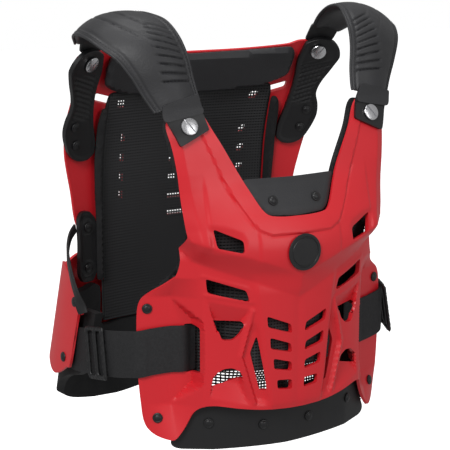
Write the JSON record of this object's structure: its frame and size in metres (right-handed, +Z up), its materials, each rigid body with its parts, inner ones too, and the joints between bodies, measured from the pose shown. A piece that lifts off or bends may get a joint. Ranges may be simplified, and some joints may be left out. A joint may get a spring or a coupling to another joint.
{
  "type": "chest protector",
  "caption": "Motocross chest and back protector: vented hard plates over padding, padded shoulder straps, webbing round the waist.",
  "frame": {"origin": "shoulder rest: midway between the undersides of the two shoulder pads, where the wearer's shoulders carry it", "axes": "+Z up, the front plate faces -Y, +X is to the right of someone looking at the front"},
  "size_m": [0.3706, 0.2871, 0.4503],
  "materials": {
    "red_plastic": "satin moulded",
    "black_plastic": "matt moulded",
    "padding": "covered foam",
    "net": "open woven net",
    "cover": "grained synthetic leather over foam",
    "rubber": "matt",
    "webbing": "ribbed webbing",
    "steel": "turned"
  },
  "bodies": {
    "root": {"back_net": "net", "back_screw_l": "steel", "back_screw_r": "steel", "back_side_pad_l": "padding", "back_side_pad_r": "padding", "back_strap_tab_l": "black_plastic", "back_strap_tab_r": "black_plastic", "back_top_pad": "cover", "back_waist_pad": "padding", "badge": "black_plastic", "belly_flap": "rubber", "collar_insert": "cover", "collar_rivet_l": "black_plastic", "collar_rivet_r": "black_plastic", "flap_rivet_inner_l": "black_plastic", "flap_rivet_inner_r": "black_plastic", "flap_rivet_outer_l": "black_plastic", "flap_rivet_outer_r": "black_plastic", "front_liner": "padding", "front_net": "net", "front_plate": "red_plastic", "front_screw_l": "steel", "front_screw_r": "steel", "front_strap_tab_l": "black_plastic", "front_strap_tab_r": "black_plastic", "link_rivet_lower_l": "black_plastic", "link_rivet_lower_r": "black_plastic", "link_rivet_upper_l": "black_plastic", "link_rivet_upper_r": "black_plastic", "lower_back_plate": "red_plastic", "shoulder_link_l": "black_plastic", "shoulder_link_r": "black_plastic", "shoulder_pad_l": "cover", "shoulder_pad_r": "cover", "side_link_l": "black_plastic", "side_link_r": "black_plastic", "side_link_rivet_lower_l": "black_plastic", "side_link_rivet_lower_r": "black_plastic", "side_link_rivet_upper_l": "black_plastic", "side_link_rivet_upper_r": "black_plastic", "side_strip_l": "rubber", "side_strip_r": "rubber", "strap_slider_l": "black_plastic", "strap_slider_r": "black_plastic", "tab_rivet_lower_l": "black_plastic", "tab_rivet_lower_r": "black_plastic", "tab_rivet_upper_l": "black_plastic", "tab_rivet_upper_r": "black_plastic", "upper_back_plate": "red_plastic", "waist_strap_l": "webbing", "waist_strap_r": "webbing", "wing_rivet_lower_l": "black_plastic", "wing_rivet_lower_r": "black_plastic", "wing_rivet_upper_l": "black_plastic", "wing_rivet_upper_r": "black_plastic"}
  },
  "joints": []
}
